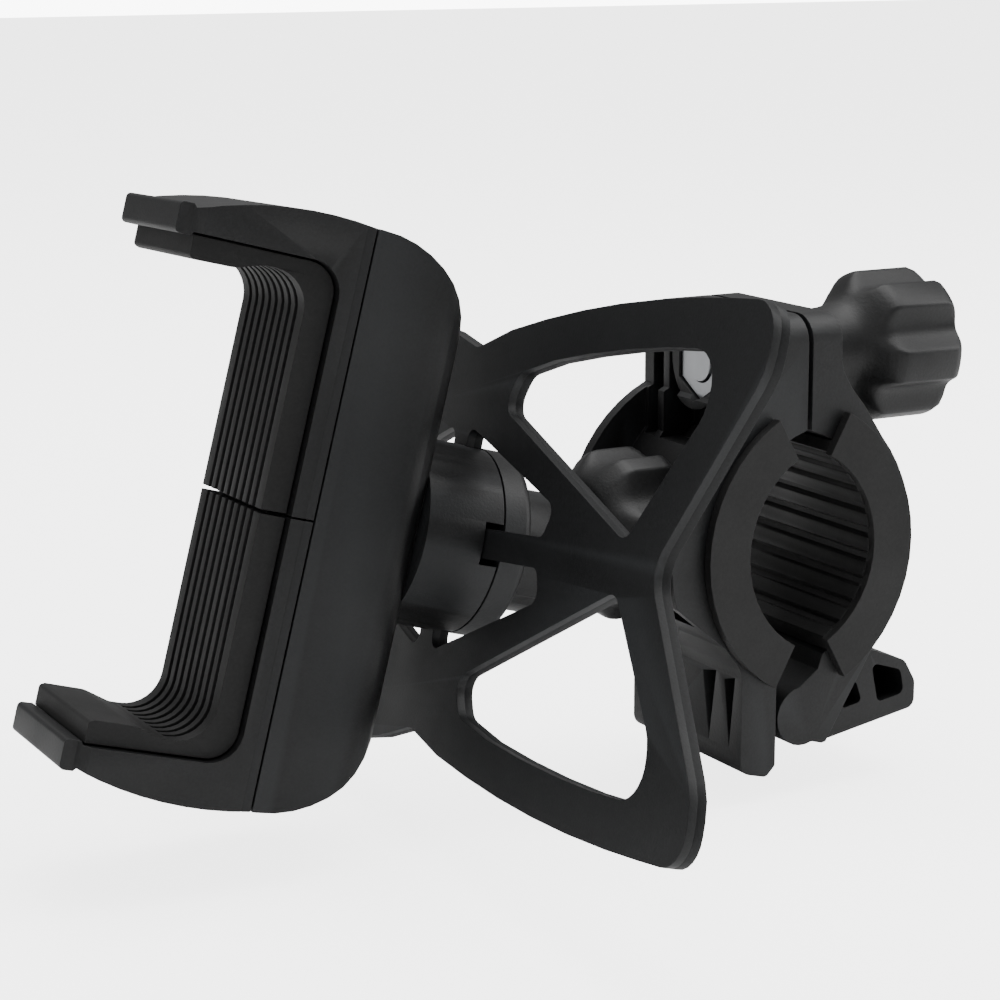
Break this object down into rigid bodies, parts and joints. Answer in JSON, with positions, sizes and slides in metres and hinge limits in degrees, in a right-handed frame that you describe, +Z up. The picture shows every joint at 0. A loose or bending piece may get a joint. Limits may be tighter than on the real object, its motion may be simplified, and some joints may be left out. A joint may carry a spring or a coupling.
{
  "type": "phone handlebar mount",
  "caption": "Handlebar phone holder: a hinged clamp with a knob, a ball joint, and a spring cradle with ribbed jaws and a web band.",
  "frame": {"origin": "centre of the handlebar bore, half way along the clamp", "axes": "+Y along the handlebar; +X towards the clamp's knob; +Z up from the bore to the clamp bolt; the cradle is on the -X side"},
  "size_m": [0.1463, 0.1614, 0.0941],
  "materials": {
    "moulded_black": "fine spark-textured moulded nylon",
    "ribbed_rubber": "matte moulded rubber",
    "web_rubber": "satin moulded silicone rubber",
    "zinc_steel": "bright zinc plate",
    "natural_nylon": "natural moulded nylon"
  },
  "bodies": {
    "clamp_base": {"fixed_jaw": "moulded_black", "fixed_jaw_pad": "ribbed_rubber", "hinge_pin": "zinc_steel", "hex_nut": "zinc_steel"},
    "swing_side": {"swing_jaw": "moulded_black", "swing_jaw_pad": "ribbed_rubber"},
    "washer": {"thrust_washer": "zinc_steel"},
    "knob": {"clamp_knob": "moulded_black", "clamp_bolt": "zinc_steel"},
    "swivel_nut": {"lock_nut": "moulded_black"},
    "swivel": {"ball_stem": "moulded_black", "stem_washer": "natural_nylon"},
    "cradle": {"housing_rear": "moulded_black", "cover_plate": "moulded_black", "socket_boss": "moulded_black", "ball_seat": "moulded_black", "security_band": "web_rubber", "boss_screw_upper": "zinc_steel", "boss_screw_lower": "zinc_steel", "cover_screw_upper": "zinc_steel", "cover_screw_lower": "zinc_steel", "guide_rod_near": "zinc_steel", "guide_rod_far": "zinc_steel", "jaw_spring_near": "zinc_steel", "jaw_spring_far": "zinc_steel", "pinion_post": "zinc_steel"},
    "upper_grip": {"upper_jaw": "moulded_black", "upper_jaw_pad": "ribbed_rubber", "upper_slider": "natural_nylon", "slider_screw_upper": "zinc_steel"},
    "lower_grip": {"lower_jaw": "moulded_black", "lower_jaw_pad": "ribbed_rubber", "lower_slider": "natural_nylon", "slider_screw_lower": "zinc_steel"},
    "pinion": {"sync_pinion": "natural_nylon"}
  },
  "joints": [
    {"name": "washer_slide", "type": "slide", "parent": "clamp_base", "child": "washer", "axis": [1, 0, 0], "range_m": [0, 0.005]},
    {"name": "knob_turn", "type": "hinge", "parent": "washer", "child": "knob", "pos_m": [0.0076, 0, 0.0268], "axis": [1, 0, 0], "range_deg": [0, 1800]},
    {"name": "swing_jaw_hinge", "type": "hinge", "parent": "clamp_base", "child": "swing_side", "pos_m": [0, 0, -0.0258], "axis": [0, 1, 0], "range_deg": [0, 4.4]},
    {"name": "lock_nut_turn", "type": "hinge", "parent": "clamp_base", "child": "swivel_nut", "pos_m": [-0.024, 0, 0.002], "axis": [1, 0, 0], "range_deg": [0, 180]},
    {"name": "swivel_turn", "type": "hinge", "parent": "clamp_base", "child": "swivel", "pos_m": [-0.0263, 0, 0.002], "axis": [1, 0, 0], "continuous": true},
    {"name": "cradle_tilt", "type": "hinge", "parent": "swivel", "child": "cradle", "pos_m": [-0.0425, 0, 0.002], "axis": [0, 0.9658, -0.2591], "range_deg": [-34, 3]},
    {"name": "upper_jaw_slide", "type": "slide", "parent": "cradle", "child": "upper_grip", "axis": [0.2621, 0.0244, 0.9647], "range_m": [0, 0.012], "stiffness_N_per_m": 250, "springref_m": -0.02, "deforming": ["jaw_spring_near", "jaw_spring_far"]},
    {"name": "lower_jaw_slide", "type": "slide", "parent": "cradle", "child": "lower_grip", "axis": [-0.2621, -0.0244, -0.9647], "range_m": [0, 0.012], "stiffness_N_per_m": 250, "springref_m": -0.02},
    {"name": "pinion_spin", "type": "hinge", "parent": "cradle", "child": "pinion", "pos_m": [-0.07476, 0.00234, 0.01071], "axis": [0.9631, -0.0697, -0.2599], "range_deg": [0, 143.5]}
  ],
  "couplings": [
    {"joint": "washer_slide", "follows": "knob_turn", "m_per_rad": 0.00015915},
    {"joint": "swing_jaw_hinge", "follows": "knob_turn", "ratio": 0.0024444},
    {"joint": "lower_jaw_slide", "follows": "upper_jaw_slide", "ratio": 1},
    {"joint": "pinion_spin", "follows": "upper_jaw_slide", "rad_per_m": 208.33}
  ]
}
